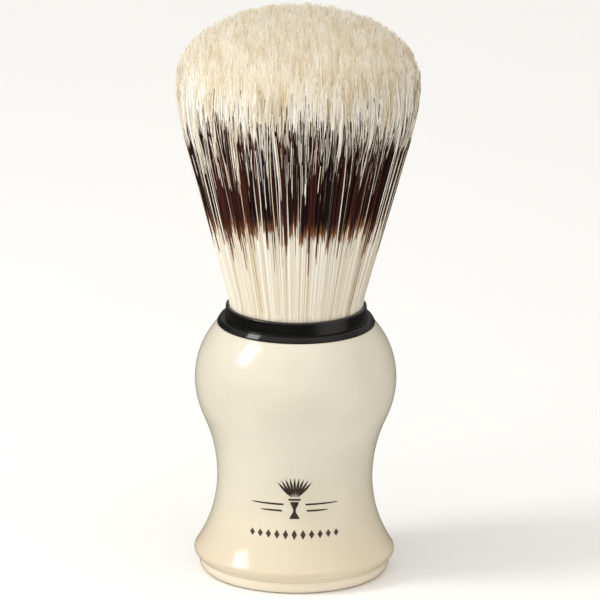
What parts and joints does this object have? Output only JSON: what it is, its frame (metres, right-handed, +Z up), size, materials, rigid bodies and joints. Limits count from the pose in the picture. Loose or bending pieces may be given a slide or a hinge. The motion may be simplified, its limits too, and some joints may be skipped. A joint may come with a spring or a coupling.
{
  "type": "shaving brush",
  "caption": "Shaving brush with a glossy ivory hourglass handle on a stepped foot, a black stepped collar, and a flared, domed knot of pale bristles with a dark dyed band.",
  "frame": {"origin": "centre of the foot's rest face, on the brush's axis", "axes": "+Z up along the brush's axis towards the bristle tips; -Y is the printed front of the handle; the bristles bend towards +X and -X"},
  "size_m": [0.0484, 0.0484, 0.1162],
  "materials": {
    "ivory_handle": "gloss",
    "ivory_foot": "gloss",
    "black_ring": "gloss",
    "black_cup": "satin",
    "adhesive": "matte",
    "resin": "gloss",
    "twine": "matte",
    "bristle_root": "satin",
    "bristle": "satin"
  },
  "bodies": {
    "handle": {"handle_shell": "ivory_handle", "base_cap": "ivory_foot", "collar_ring": "black_ring", "ferrule_cup": "black_cup", "glue_bed": "adhesive", "resin_plug": "resin", "binding_twine": "twine", "bristle_root": "bristle_root"},
    "bristles": {"bristle_head": "bristle"}
  },
  "joints": [
    {"name": "bristle_flex", "type": "hinge", "parent": "handle", "child": "bristles", "pos_m": [0, 0, 0.0631], "axis": [0, 1, 0], "range_deg": [-30, 30], "stiffness_Nm_per_rad": 0.3}
  ]
}
